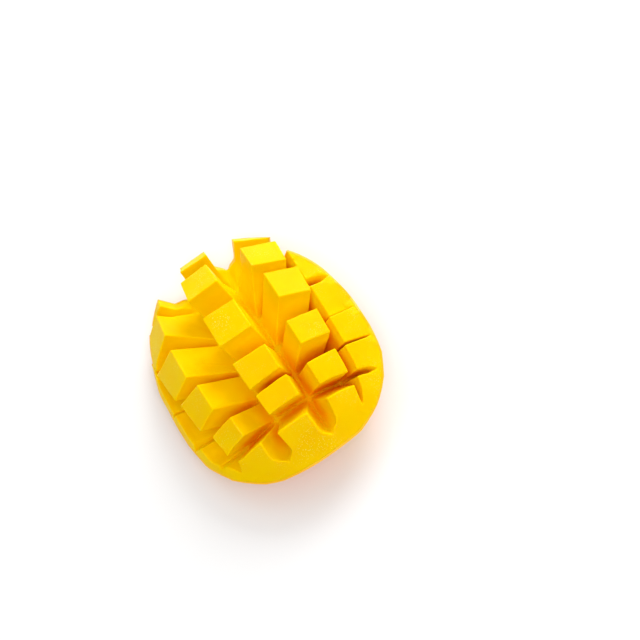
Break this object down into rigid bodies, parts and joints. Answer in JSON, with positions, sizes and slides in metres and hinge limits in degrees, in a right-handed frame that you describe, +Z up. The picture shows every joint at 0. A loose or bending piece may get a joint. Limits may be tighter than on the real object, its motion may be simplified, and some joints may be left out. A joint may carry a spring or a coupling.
{
  "type": "cubed mango half",
  "caption": "Half a mango scored in a grid and turned inside out, so that cubes of flesh stand apart on the skin, resting on the skin.",
  "frame": {"origin": "on the surface that the half rests on, under the middle of its outline", "axes": "+Z up, +X along the fruit towards the end that the knife leaves whole, +Y across the fruit"},
  "size_m": [0.1128, 0.0944, 0.0398],
  "materials": {
    "flesh": "moist"
  },
  "bodies": {
    "root": {"mango_half": "flesh"}
  },
  "joints": []
}
